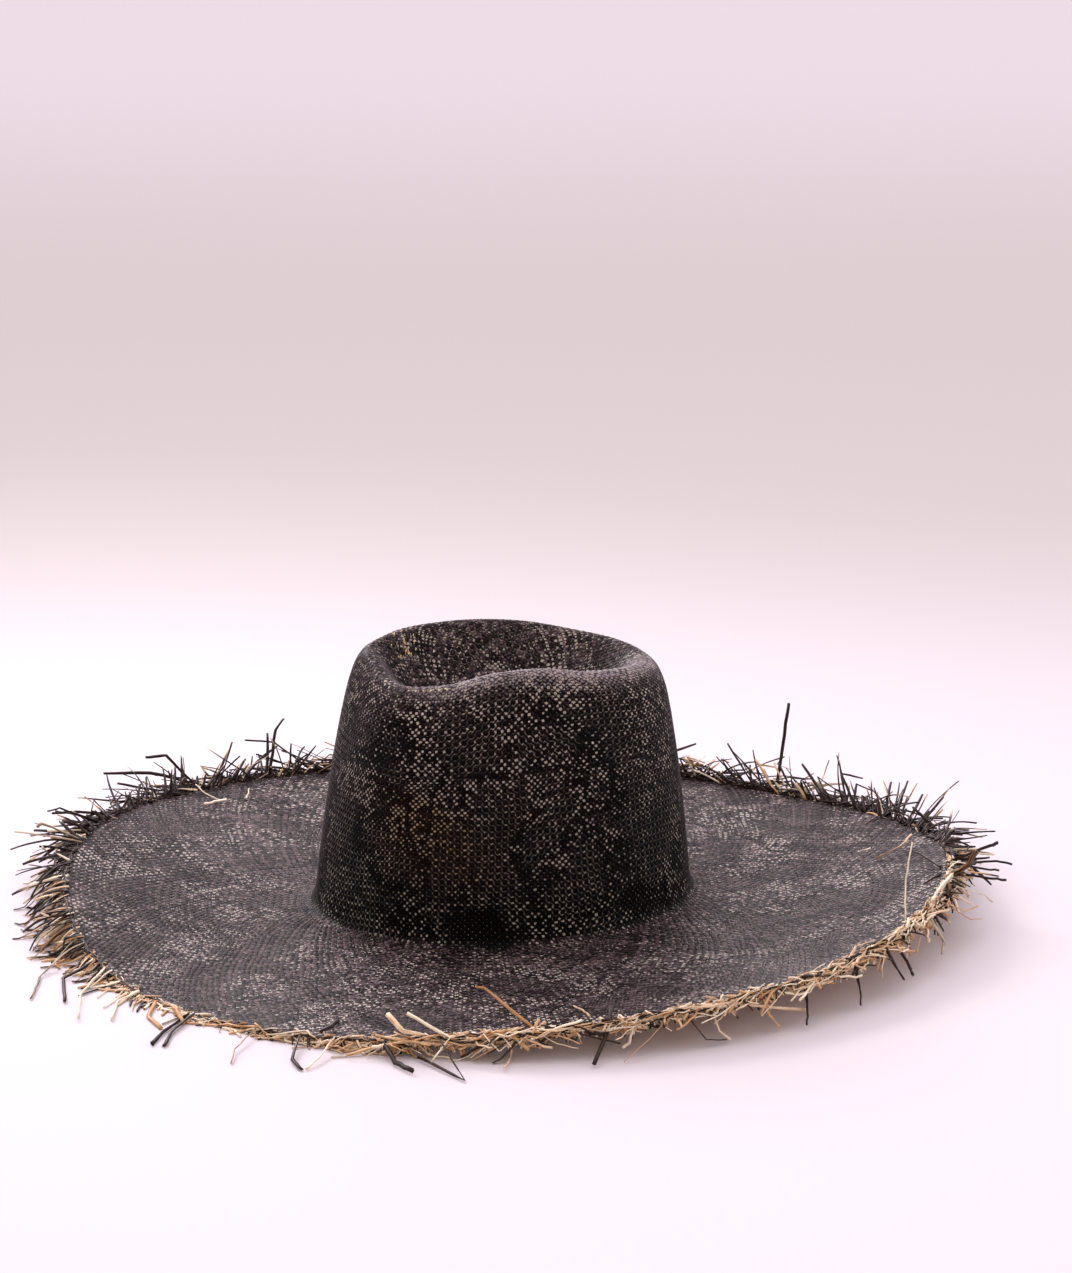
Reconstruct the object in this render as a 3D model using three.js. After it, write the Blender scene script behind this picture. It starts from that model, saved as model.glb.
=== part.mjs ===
// A wide-brimmed straw hat with a fedora crown and a frayed edge. Millimetres, +Z up, the floor at Z = 0.
// The hat's front faces -Y. Crown and brim are one woven wall, and the fringe of straw ends is a ring of
// its own round it.
import * as THREE from "three";

// Driving sizes
const WALL = 1.5; // thickness of the weave
const BRIM_SWEEP = 1.6; // how late the brim rises towards its edge: 1 is a straight slope
const BACK_SQUARENESS = 0.35; // how blunt the crown's back is, as a share of its front
const AZIMUTH_STEPS = 64; // facets round the hat
const BRIM_STEPS = 6; // rings from the foot of the crown to the brim's edge

const EDGE_GAP = 0.3; // between the brim and the fringe's backing ring
const RING_WIDTH = 4; // the tight last row of weave, measured outwards
const RING_THICKNESS = 2.2;
const LOCKS = 72; // bundles of straw ends in each of the two layers that cross
const LOCK_LENGTH = 22; // mean length past the ring
const LENGTH_VARIES = 0.32; // share of its length that a lock may be longer or shorter
const LOCK_LEAN = 13; // how far a tip leans round the edge, one layer each way
const LEAN_VARIES = 0.2;
const LOCK_ROOT_SHARE = 0.72; // of the room that each lock has on the ring
const LOCK_TIP_WIDTH = 3;
const LAYER_THICKNESS = 0.9; // of a lock
const LAYER_SPREAD = 3; // how much higher the upper layer's tips are carried

// Sections of the crown from the middle of the dent down to where the brim starts, with these columns:
// halfLength front to back, halfWidth side to side, height, back (how far the section is moved backwards),
// square (the power of the outline at the front: 2 is an ellipse, more is blunter), crest (the share of
// CREST_PROFILE that the height takes) and rings (steps of facets to the next section).
const SECTIONS = [
  ["name", "halfLength", "halfWidth", "height", "back", "square", "crest", "rings"],
  ["dent centre", 0, 0, 103, -4, 2, 0.2, 2],
  ["dent floor", 22, 9, 103.5, -4, 2, 0.3, 2],
  ["dent toe", 43, 21, 108.5, -2.5, 2.2, 0.5, 2],
  ["dent slope", 56.5, 32, 119, 0, 2.5, 0.8, 2],
  ["crest inside", 64.5, 40, 127.5, 1.5, 2.7, 1, 2],
  ["crest", 70, 45.5, 130.5, 2, 2.8, 1, 2],
  ["crest outside", 75, 50.5, 128.5, 2.5, 2.8, 0.9, 2],
  ["shoulder", 79, 54.5, 121.5, 2.5, 2.8, 0.7, 2],
  ["wall top", 83, 58.5, 108, 2.3, 2.7, 0.4, 1],
  ["wall upper", 88, 65, 82, 1.5, 2.5, 0.1, 1],
  ["wall middle", 92.5, 71, 54, 0.8, 2.3, 0, 1],
  ["wall low", 96, 77, 27, 0, 2.15, 0, 1],
  ["hip", 98.5, 81, 7.5, -0.5, 2.05, 0, 2],
  ["crease", 102, 84.5, 2.2, -0.5, 2, 0, 2],
  ["brim root", 110, 93, 1.2, 0, 2, 0, 2],
].map((row, at, table) => Object.fromEntries(row.map((value, column) => [table[0][column], value])));
SECTIONS.shift();

// How much higher or lower the crown's crest runs than its section says, round the hat. Azimuth 0 is the
// right side of the hat as seen from behind (+X), 90 the back and 270 the front.
const CREST_PROFILE = [
  { azimuth: 0, rise: 2.1 },
  { azimuth: 20, rise: -1.9 },
  { azimuth: 45, rise: -5 },
  { azimuth: 70, rise: -7 },
  { azimuth: 90, rise: -7.5 },
  { azimuth: 115, rise: -5.8 },
  { azimuth: 138, rise: -3 },
  { azimuth: 160, rise: 2 },
  { azimuth: 182, rise: 5 },
  { azimuth: 205, rise: 5.5 },
  { azimuth: 225, rise: 5 },
  { azimuth: 245, rise: 3.2 },
  { azimuth: 270, rise: 0 },
  { azimuth: 300, rise: -6 },
  { azimuth: 322, rise: -3.8 },
  { azimuth: 340, rise: 1.4 },
];

// Pinches: shallow hollows at both sides of the crown's front, deepest just outside the crest and gone at
// the middle of the wall.
const PINCHES = [
  { name: "right pinch", azimuth: 312, spread: 13, depth: 3.5 },
  { name: "left pinch", azimuth: 228, spread: 13, depth: 3 },
];
const PINCH_SECTION = 6; // the section where a pinch is deepest, counted from the dent's centre
const PINCH_REACH = 2.2; // sections above and below it

// The brim's edge round the hat: its underside touches the floor at the front and at the back and rises at
// the sides.
const BRIM_EDGE = [
  { azimuth: 0, radius: 230, height: 17 },
  { azimuth: 30, radius: 230, height: 22 },
  { azimuth: 60, radius: 230, height: 26 },
  { azimuth: 90, radius: 228, height: 13 },
  { azimuth: 115, radius: 228, height: 2 },
  { azimuth: 135, radius: 229, height: 0 },
  { azimuth: 160, radius: 230, height: 1.5 },
  { azimuth: 185, radius: 230, height: 3.5 },
  { azimuth: 210, radius: 229, height: 10 },
  { azimuth: 235, radius: 227, height: 17 },
  { azimuth: 260, radius: 226, height: 12 },
  { azimuth: 285, radius: 228, height: 1.5 },
  { azimuth: 300, radius: 229, height: 0.2 },
  { azimuth: 320, radius: 230, height: 4 },
  { azimuth: 340, radius: 230, height: 11 },
];

// How far the lower locks' tips lift, or droop where it is negative, against the brim's edge.
const LOCK_LIFT = [
  { azimuth: 0, lift: -6 },
  { azimuth: 45, lift: -3 },
  { azimuth: 100, lift: 7 },
  { azimuth: 180, lift: 8 },
  { azimuth: 240, lift: 4 },
  { azimuth: 290, lift: 1 },
  { azimuth: 330, lift: -5 },
];

// Value and slope blend of one span, t from 0 to 1.
function hermite(t, from, to, slopeFrom, slopeTo) {
  const t2 = t * t;
  const t3 = t2 * t;
  return (2 * t3 - 3 * t2 + 1) * from + (t3 - 2 * t2 + t) * slopeFrom
    + (3 * t2 - 2 * t3) * to + (t3 - t2) * slopeTo;
}

// A column of a table that runs round the hat, as a smooth closed curve.
function around(table, column, azimuth) {
  const count = table.length;
  const wrapped = ((azimuth % 360) + 360) % 360;
  let at = table.findIndex((row) => row.azimuth > wrapped) - 1;
  if (at < -1) at = count - 1;
  const row = (k) => {
    const index = ((k % count) + count) % count;
    const turns = Math.floor(k / count);
    return { azimuth: table[index].azimuth + 360 * turns, value: table[index][column] };
  };
  const [before, from, to, after] = [row(at - 1), row(at), row(at + 1), row(at + 2)];
  const span = to.azimuth - from.azimuth;
  const slopeFrom = (to.value - before.value) / (to.azimuth - before.azimuth);
  const slopeTo = (after.value - from.value) / (after.azimuth - from.azimuth);
  return hermite((wrapped - from.azimuth) / span, from.value, to.value, slopeFrom * span, slopeTo * span);
}

// A column of SECTIONS at a place between sections.
function section(column, place) {
  const last = SECTIONS.length - 1;
  const at = Math.min(Math.floor(place), last - 1);
  const value = (k) => SECTIONS[Math.max(0, Math.min(last, k))][column];
  const slope = (k) => {
    if (k === 0 && column === "height") return 0;
    return (value(k + 1) - value(k - 1)) / (k > 0 && k < last ? 2 : 1);
  };
  return hermite(place - at, value(at), value(at + 1), slope(at), slope(at + 1));
}

// Depth of the pinches at a place of the crown.
function pinchDepth(azimuth, place) {
  const along = (place - PINCH_SECTION) / PINCH_REACH;
  const across = (pinch) => {
    const turn = ((azimuth - pinch.azimuth + 540) % 360) - 180;
    return turn / pinch.spread;
  };
  const share = (pinch) => Math.exp(-(across(pinch) ** 2) - along ** 2);
  return PINCHES.reduce((sum, pinch) => sum + pinch.depth * share(pinch), 0);
}

// The middle of the wall. "place" counts sections down the crown, and its last unit runs over the brim.
const BRIM_START = SECTIONS.length - 1;
function wallMiddle(azimuth, place) {
  const crown = Math.min(place, BRIM_START);
  const out = Math.max(0, place - BRIM_START);
  const angle = THREE.MathUtils.degToRad(azimuth);
  const side = Math.cos(angle);
  const back = Math.sin(angle);
  const squareness = THREE.MathUtils.lerp(BACK_SQUARENESS, 1, ((1 - back) / 2) ** 2);
  const power = 2 + (section("square", crown) - 2) * squareness;
  const bulge = (Math.abs(side) ** power + Math.abs(back) ** power) ** (-1 / power);
  const radius = around(BRIM_EDGE, "radius", azimuth);
  const pinch = pinchDepth(azimuth, crown);
  const halfWidth = THREE.MathUtils.lerp(section("halfWidth", crown), radius, out) - pinch;
  const halfLength = THREE.MathUtils.lerp(section("halfLength", crown), radius, out) - pinch;
  const shift = section("back", crown) * (1 - out);
  const crestRise = section("crest", crown) * around(CREST_PROFILE, "rise", azimuth);
  const edgeRise = around(BRIM_EDGE, "height", azimuth) - SECTIONS[BRIM_START].height;
  const height = section("height", crown) + crestRise + out ** BRIM_SWEEP * edgeRise + WALL / 2;
  return new THREE.Vector3(halfWidth * side * bulge, halfLength * back * bulge + shift, height);
}

// The direction out of the wall, away from the head.
function wallNormal(azimuth, place) {
  if (place === 0) return new THREE.Vector3(0, 0, 1);
  const step = 0.02;
  const low = Math.max(0.01, place - step);
  const high = Math.min(BRIM_START + 1, place + step);
  const down = wallMiddle(azimuth, high).sub(wallMiddle(azimuth, low));
  const round = wallMiddle(azimuth + 0.5, place).sub(wallMiddle(azimuth - 0.5, place));
  return down.cross(round).normalize();
}

// A closed body from rows of points. Each row is a closed loop or a single point, and faces join row to
// row.
function bodyOfLoops(rows) {
  const points = [];
  const faces = [];
  const starts = rows.map((loop) => {
    const start = points.length;
    points.push(...loop);
    return start;
  });
  for (let r = 0; r + 1 < rows.length; r += 1) {
    const upper = rows[r].length;
    const lower = rows[r + 1].length;
    const count = Math.max(upper, lower);
    for (let k = 0; k < count; k += 1) {
      const next = (k + 1) % count;
      const [a, b] = [starts[r] + (k % upper), starts[r] + (next % upper)];
      const [c, d] = [starts[r + 1] + (k % lower), starts[r + 1] + (next % lower)];
      if (lower > 1) faces.push(a, c, d);
      if (upper > 1) faces.push(a, d, b);
    }
  }
  const geometry = new THREE.BufferGeometry().setFromPoints(points);
  geometry.setIndex(faces);
  geometry.computeVertexNormals();
  return geometry;
}

function wovenBody() {
  const stepsOf = (row, at) => Array.from({ length: row.rings }, (_, k) => at + k / row.rings);
  const places = SECTIONS.slice(0, -1).flatMap(stepsOf);
  for (let k = 0; k <= BRIM_STEPS; k += 1) places.push(BRIM_START + k / BRIM_STEPS);
  const loop = (place, offset) => {
    const count = place === 0 ? 1 : AZIMUTH_STEPS;
    return Array.from({ length: count }, (_, k) => {
      const azimuth = (360 * k) / AZIMUTH_STEPS;
      return wallMiddle(azimuth, place).addScaledVector(wallNormal(azimuth, place), offset);
    });
  };
  const outside = places.map((place) => loop(place, WALL / 2));
  const inside = places.map((place) => loop(place, -WALL / 2)).reverse();
  return bodyOfLoops([...outside, ...inside]);
}

// A point beside the brim's edge: "reach" outwards from it and "height" above its underside, but never
// under the floor.
function besideEdge(azimuth, reach, height) {
  const angle = THREE.MathUtils.degToRad(azimuth);
  const radius = around(BRIM_EDGE, "radius", azimuth) + EDGE_GAP + reach;
  const underside = around(BRIM_EDGE, "height", azimuth) + EDGE_GAP;
  const z = Math.max(EDGE_GAP, underside + height);
  return new THREE.Vector3(radius * Math.cos(angle), radius * Math.sin(angle), z);
}

// A steady number from -1 to 1 for each lock, so that neighbours differ.
function uneven(lock, seed) {
  const wave = 43758.5453 * Math.sin(12.9898 * lock + 78.233 * seed);
  return 2 * (wave - Math.floor(wave)) - 1;
}

// The fringe: the tight last row of weave as a ring, whose outer side runs out into two layers of locks
// that lean opposite ways.
function frayedEdge() {
  const pitch = 360 / LOCKS;
  const degrees = (length) => THREE.MathUtils.radToDeg(length / BRIM_EDGE[0].radius);
  const rootPlaces = [-1 / 2, -1 / 6, 1 / 6, 1 / 2].map((share) => 0.5 + share * LOCK_ROOT_SHARE);
  const loopOf = (pointAt) => {
    const lockPoints = (_, lock) => rootPlaces.map((place, corner) => pointAt(lock, place, corner));
    return Array.from({ length: LOCKS }, lockPoints).flat();
  };
  const ringLoop = (reach, height) => {
    return loopOf((lock, place) => besideEdge(pitch * (lock + place), reach, height));
  };
  const lockLoop = (lean, base, lift) => loopOf((lock, place, corner) => {
    if (corner === 0 || corner === 3) return besideEdge(pitch * (lock + place), RING_WIDTH, base);
    const leaning = lean * (1 + LEAN_VARIES * uneven(lock, 1));
    const length = LOCK_LENGTH * (1 + LENGTH_VARIES * uneven(lock, Math.sign(lean)));
    const azimuth = pitch * (lock + 0.5) + degrees(leaning + LOCK_TIP_WIDTH * (corner - 1.5));
    const rise = around(LOCK_LIFT, "lift", azimuth) + lift;
    const clearOfFloor = EDGE_GAP - around(BRIM_EDGE, "height", azimuth);
    return besideEdge(azimuth, RING_WIDTH + length, base + Math.max(rise, clearOfFloor));
  });
  const upperBase = RING_THICKNESS - LAYER_THICKNESS;
  return bodyOfLoops([
    ringLoop(0, RING_THICKNESS),
    lockLoop(LOCK_LEAN, RING_THICKNESS, LAYER_SPREAD),
    lockLoop(LOCK_LEAN, upperBase, LAYER_SPREAD),
    ringLoop(RING_WIDTH / 2, RING_THICKNESS / 2),
    lockLoop(-LOCK_LEAN, LAYER_THICKNESS, 0),
    lockLoop(-LOCK_LEAN, 0, 0),
    ringLoop(0, 0),
    ringLoop(0, RING_THICKNESS),
  ]);
}

const straw = { roughness: 0.65, metalness: 0 };
const blackStraw = new THREE.MeshStandardMaterial({ name: "black_straw", color: 0x2b272b, ...straw });
const strawEnds = new THREE.MeshStandardMaterial({ name: "straw_ends", color: 0x8d7556, ...straw });

const hat = new THREE.Group();
const body = new THREE.Mesh(wovenBody(), blackStraw);
body.name = "woven_body";
const fringe = new THREE.Mesh(frayedEdge(), strawEnds);
fringe.name = "frayed_edge";
hat.add(body, fringe);

export default hat;
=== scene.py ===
import math

import bpy
import numpy as np

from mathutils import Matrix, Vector


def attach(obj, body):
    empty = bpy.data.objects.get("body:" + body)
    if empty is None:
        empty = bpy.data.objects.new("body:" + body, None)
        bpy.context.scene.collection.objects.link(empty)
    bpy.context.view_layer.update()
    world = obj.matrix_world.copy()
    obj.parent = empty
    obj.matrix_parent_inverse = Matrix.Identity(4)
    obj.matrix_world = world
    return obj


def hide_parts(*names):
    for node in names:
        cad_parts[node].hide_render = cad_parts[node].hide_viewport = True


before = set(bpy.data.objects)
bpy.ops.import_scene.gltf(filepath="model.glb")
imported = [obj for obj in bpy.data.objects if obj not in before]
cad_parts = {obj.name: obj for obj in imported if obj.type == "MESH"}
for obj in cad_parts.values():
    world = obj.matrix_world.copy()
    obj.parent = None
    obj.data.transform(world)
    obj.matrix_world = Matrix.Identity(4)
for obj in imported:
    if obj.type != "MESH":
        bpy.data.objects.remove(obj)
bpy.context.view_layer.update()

# Crown: one layer of palm straws, about 2.2 mm apart, in two leaning families that pass over and under each
# other. It is woven from the middle of the dent outwards, with straws added where it widens, and dyed black
# on the outside, so the inside and the places under the crossings keep their straw colour.
WALL = 1.5  # the CAD wall, whose middle the weave follows
BRIM_SWEEP = 1.6
BACK_SQUARENESS = 0.35
SECTION_ROWS = [
    # name, halfLength, halfWidth, height, back, square, crest
    ("dent centre", 0, 0, 103, -4, 2, 0.2),
    ("dent floor", 22, 9, 103.5, -4, 2, 0.3),
    ("dent toe", 43, 21, 108.5, -2.5, 2.2, 0.5),
    ("dent slope", 56.5, 32, 119, 0, 2.5, 0.8),
    ("crest inside", 64.5, 40, 127.5, 1.5, 2.7, 1),
    ("crest", 70, 45.5, 130.5, 2, 2.8, 1),
    ("crest outside", 75, 50.5, 128.5, 2.5, 2.8, 0.9),
    ("shoulder", 79, 54.5, 121.5, 2.5, 2.8, 0.7),
    ("wall top", 83, 58.5, 108, 2.3, 2.7, 0.4),
    ("wall upper", 88, 65, 82, 1.5, 2.5, 0.1),
    ("wall middle", 92.5, 71, 54, 0.8, 2.3, 0),
    ("wall low", 96, 77, 27, 0, 2.15, 0),
    ("hip", 98.5, 81, 7.5, -0.5, 2.05, 0),
    ("crease", 102, 84.5, 2.2, -0.5, 2, 0),
    ("brim root", 110, 93, 1.2, 0, 2, 0),
]
SECTION_COLUMNS = ("halfLength", "halfWidth", "height", "back", "square", "crest")
SECTIONS = {
    name: np.array([row[k + 1] for row in SECTION_ROWS], float)
    for k, name in enumerate(SECTION_COLUMNS)
}
# azimuth (0 right, 90 back, 270 front), rise of the crest
CREST_PROFILE = [
    (0, 2.1), (20, -1.9), (45, -5), (70, -7), (90, -7.5), (115, -5.8), (138, -3), (160, 2),
    (182, 5), (205, 5.5), (225, 5), (245, 3.2), (270, 0), (300, -6), (322, -3.8), (340, 1.4),
]
# azimuth, spread, depth of each pinch at the crown's front
PINCHES = [(312, 13, 3.5), (228, 13, 3)]
PINCH_SECTION = 6
PINCH_REACH = 2.2
# azimuth, radius, height of the brim's edge
BRIM_EDGE = [
    (0, 230, 17), (30, 230, 22), (60, 230, 26), (90, 228, 13), (115, 228, 2),
    (135, 229, 0), (160, 230, 1.5), (185, 230, 3.5), (210, 229, 10), (235, 227, 17),
    (260, 226, 12), (285, 228, 1.5), (300, 229, 0.2), (320, 230, 4), (340, 230, 11),
]
EDGE_RADIUS, EDGE_HEIGHT = 1, 2
BRIM_START = len(SECTION_ROWS) - 1
DENT_RIM = 6  # the weave's rings are round inside this section, and follow the sections outside it


def hermite(t, start, end, start_slope, end_slope):
    t2, t3 = t * t, t * t * t
    return (
        (2 * t3 - 3 * t2 + 1) * start
        + (t3 - 2 * t2 + t) * start_slope
        + (3 * t2 - 2 * t3) * end
        + (t3 - t2) * end_slope
    )


def around(table, column, azimuth):
    """A column of a table that runs round the hat, as a smooth closed curve."""
    at = np.array([row[0] for row in table], float)
    value = np.array([row[column] for row in table], float)
    count = len(at)
    wrapped = np.mod(azimuth, 360)
    k = np.searchsorted(at, wrapped, side="right") - 1
    place = lambda n: at[n % count] + 360 * (n // count)
    height = lambda n: value[n % count]
    span = place(k + 1) - place(k)
    start_slope = (height(k + 1) - height(k - 1)) / (place(k + 1) - place(k - 1))
    end_slope = (height(k + 2) - height(k)) / (place(k + 2) - place(k))
    return hermite(
        (wrapped - place(k)) / span, height(k), height(k + 1), start_slope * span, end_slope * span
    )


def section(column, place):
    """A column of the sections at a place between them."""
    value = SECTIONS[column]
    last = len(value) - 1
    slope = np.gradient(value)
    if column == "height":
        slope[0] = 0
    at = np.clip(np.floor(place).astype(int), 0, last - 1)
    return hermite(place - at, value[at], value[at + 1], slope[at], slope[at + 1])


def outline_bulge(angle, place):
    """How far a section's outline stands out past its ellipse, towards its blunt corners."""
    side, back = np.cos(angle), np.sin(angle)
    squareness = BACK_SQUARENESS + (1 - BACK_SQUARENESS) * ((1 - back) / 2) ** 2
    power = 2 + (section("square", place) - 2) * squareness
    return (np.abs(side) ** power + np.abs(back) ** power) ** (-1 / power)


def pinch_depth(azimuth, place):
    along = (place - PINCH_SECTION) / PINCH_REACH
    depth = 0
    for middle, spread, deepest in PINCHES:
        across = (np.mod(azimuth - middle + 180, 360) - 180) / spread
        depth = depth + deepest * np.exp(-(across**2) - along**2)
    return depth


def wall_point(angle, place):
    """The middle of the wall, in millimetres, at an angle round the hat and a place down the sections."""
    crown = np.minimum(place, BRIM_START)
    out = np.maximum(0, place - BRIM_START)
    azimuth = np.degrees(angle)
    bulge = outline_bulge(angle, crown)
    radius = around(BRIM_EDGE, EDGE_RADIUS, azimuth)
    pinch = pinch_depth(azimuth, crown)
    half_width = (1 - out) * section("halfWidth", crown) + out * radius - pinch
    half_length = (1 - out) * section("halfLength", crown) + out * radius - pinch
    edge_rise = around(BRIM_EDGE, EDGE_HEIGHT, azimuth) - SECTIONS["height"][BRIM_START]
    height = (
        section("height", crown)
        + section("crest", crown) * around(CREST_PROFILE, 1, azimuth)
        + out**BRIM_SWEEP * edge_rise
        + WALL / 2
    )
    return np.stack(
        [
            half_width * np.cos(angle) * bulge,
            half_length * np.sin(angle) * bulge + section("back", crown) * (1 - out),
            height,
        ],
        axis=-1,
    )


DENT_RADIUS = (SECTIONS["halfWidth"][DENT_RIM] + SECTIONS["halfLength"][DENT_RIM]) / 2


def dent_point(turn, place):
    """The middle of the wall inside the crest, where the weave's rings grow from a circle at the dent's
    centre to the crest's own outline."""
    share = place / DENT_RIM
    rim = wall_point(turn, np.full_like(turn, float(DENT_RIM)))
    rim_back = SECTIONS["back"][DENT_RIM]
    centre_back = SECTIONS["back"][0]
    middle = centre_back + (rim_back - centre_back) * share
    x = share * ((1 - share) * DENT_RADIUS * np.cos(turn) + share * rim[..., 0])
    y = middle + share * ((1 - share) * DENT_RADIUS * np.sin(turn) + share * (rim[..., 1] - rim_back))
    low, high = np.full_like(turn, 1e-4), np.full_like(turn, DENT_RIM + 0.5)
    pinch = 0
    for _ in range(26):  # each time halves the stretch that the place can be in
        trial = (low + high) / 2
        half_width = section("halfWidth", trial) - pinch
        half_length = section("halfLength", trial) - pinch
        from_middle = y - section("back", trial)
        angle = np.arctan2(from_middle / half_length, x / half_width)
        reach = np.hypot(x / half_width, from_middle / half_length) / outline_bulge(angle, trial)
        low = np.where(reach > 1, trial, low)
        high = np.where(reach > 1, high, trial)
        pinch = np.minimum(pinch_depth(np.degrees(angle), trial), 0.5 * half_width)
    return np.stack([x, y, wall_point(angle, trial)[..., 2]], axis=-1)


def form_point(turn, place):
    inner = place < DENT_RIM
    point = wall_point(turn, np.maximum(place, DENT_RIM))
    if inner.any():
        point[inner] = dent_point(turn[inner], place[inner])
    return point


# The way down the wall in the weave's own measure: straws at 45 degrees turn round the hat by as much as
# they go along it.
FIRST_PLACE = 0.12
crown_places = np.linspace(FIRST_PLACE, BRIM_START, 560)
brim_places = np.linspace(BRIM_START, BRIM_START + 1, 120)[1:]
places = np.concatenate([crown_places, brim_places])
turns = np.linspace(0, 2 * math.pi, 73)
rings = form_point(*np.meshgrid(turns, places))
ring_radius = np.linalg.norm(np.diff(rings, axis=1), axis=2).sum(axis=1) / (2 * math.pi)
step_length = np.linalg.norm(np.diff(rings[:, :-1], axis=0), axis=2).mean(axis=1)
ways = np.concatenate([[0], np.cumsum(step_length * 2 / (ring_radius[1:] + ring_radius[:-1]))])
LAST_WAY = ways[-1]


def way_at(place):
    return float(np.interp(place, places, ways))


def weave_point(turn, way):
    """A point of the weave. Slow bends move both families together, so their crossings stay true."""
    fade = np.clip((LAST_WAY - way) / 0.12, 0, 1)
    bend = 0.010 * np.sin(3 * turn + 2.3 * way + 0.6) + 0.007 * np.sin(5 * turn - 3.7 * way + 2)
    bend = bend + 0.004 * np.sin(11 * turn + 9 * way) + 0.003 * np.sin(8 * turn - 17 * way + 1)
    stretch = 0.009 * np.sin(4 * turn - 2.9 * way + 4) + 0.006 * np.sin(9 * turn + 5 * way)
    stretch = stretch + 0.003 * np.sin(13 * turn + 19 * way + 3)
    moved = way + fade * stretch
    place = np.interp(moved, ways, places)
    return form_point(turn + bend, place)


def weave_normal(turn, way):
    step = 0.004
    down = weave_point(turn, np.minimum(way + step, LAST_WAY)) - weave_point(turn, way - step)
    round_it = weave_point(turn + step, way) - weave_point(turn - step, way)
    normal = np.cross(down, round_it)
    normal /= np.linalg.norm(normal, axis=-1, keepdims=True)
    return normal, round_it / (2 * step)


STRAW_THICKNESS = 0.34
STRAW_RISE = 0.2  # how far a straw's middle rises and falls at the crossings
STRAW_SHARE = (0.76, 0.92)  # its width, as a share of the room it has
UNEVENNESS = 0.03  # how much a straw's width, place and height vary along it
WEAK_GAP = 0.72  # how bare the straws are at every second gap, against 1 at the others
WEAVE_SINK = 0.36  # below the middle of the CAD wall, so that the brim's underside rests on the floor


def leaning_straws(count, from_place, to_place, lean, seed):
    """The straws of one family in one zone of the weave, as rows of three corners: left edge, ridge and
    right edge. It returns the corners, each corner's share of bare straw, and its numbers for the grain."""
    chance = np.random.default_rng(seed)
    from_way, to_way = way_at(from_place), way_at(to_place)
    half_crossing = math.pi / (2 * count)
    last_row = int(round((to_way - from_way) / half_crossing))
    row = np.arange(-1, last_row + (2 if to_place < BRIM_START + 1 else 1))
    way = np.maximum(from_way + row * half_crossing, 1e-3)
    way = np.minimum(way, LAST_WAY)
    start = 2 * math.pi * np.arange(count) / count
    turn = start[:, None] + lean * row[None, :] * half_crossing
    way = np.broadcast_to(way, turn.shape)
    normal, per_turn = weave_normal(turn, way)
    middle = weave_point(turn, way)
    along = np.gradient(middle, axis=1)
    along /= np.linalg.norm(along, axis=-1, keepdims=True)
    room = np.linalg.norm(np.cross(per_turn * (2 * math.pi / count), along), axis=-1)
    side = np.cross(along, normal)
    over = np.where(row % 2 == 0, np.where(row % 4 == 0, 1, -1), 0) * lean
    tucked = np.select([row < 0, row > last_row], [0.25, 0.15], 0)
    rise = STRAW_RISE * over - WEAVE_SINK - tucked
    share = chance.uniform(*STRAW_SHARE, (count, 1)) + UNEVENNESS * chance.standard_normal(turn.shape)
    share = np.clip(share, 0.66, 0.95)
    shift = UNEVENNESS * room * chance.standard_normal(turn.shape)
    lift = rise[None, :] + UNEVENNESS * chance.standard_normal(turn.shape)
    centre = middle + normal * lift[..., None] + side * shift[..., None]
    half = (share * room / 2)[..., None] * side
    thin = STRAW_THICKNESS / 2 * normal
    corners = np.stack([centre - half - thin, centre + thin, centre + half - thin], axis=2)
    between = row % 2 != 0
    left_gap = between & ((row // 2) % 2 == (0 if lean > 0 else 1))
    right_gap = between & ~left_gap
    open_gap = np.stack([left_gap, np.zeros_like(between), right_gap], axis=-1)
    shown = np.where(open_gap, 1.0, 0.0)
    weak = np.where(between[:, None] * np.array([1.0, 0.0, 1.0]) > 0, WEAK_GAP, 0.0)
    bare = np.broadcast_to(np.maximum(shown, weak)[None], corners.shape[:3]).copy()
    distance = np.cumsum(np.linalg.norm(np.diff(centre, axis=1, prepend=centre[:, :1]), axis=-1), axis=1)
    numbers = {
        "bare": bare,
        "straw": np.broadcast_to(chance.random((count, 1, 1)), bare.shape),
        "across": np.broadcast_to(np.array([-1.0, 0.0, 1.0]), bare.shape),
        "along": np.broadcast_to(distance[..., None], bare.shape),
        "family": np.full(bare.shape, float(lean)),
        "float": np.broadcast_to(np.where(over > 0, 1.0, 0.0)[None, :, None], bare.shape),
    }
    return corners, numbers


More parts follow.
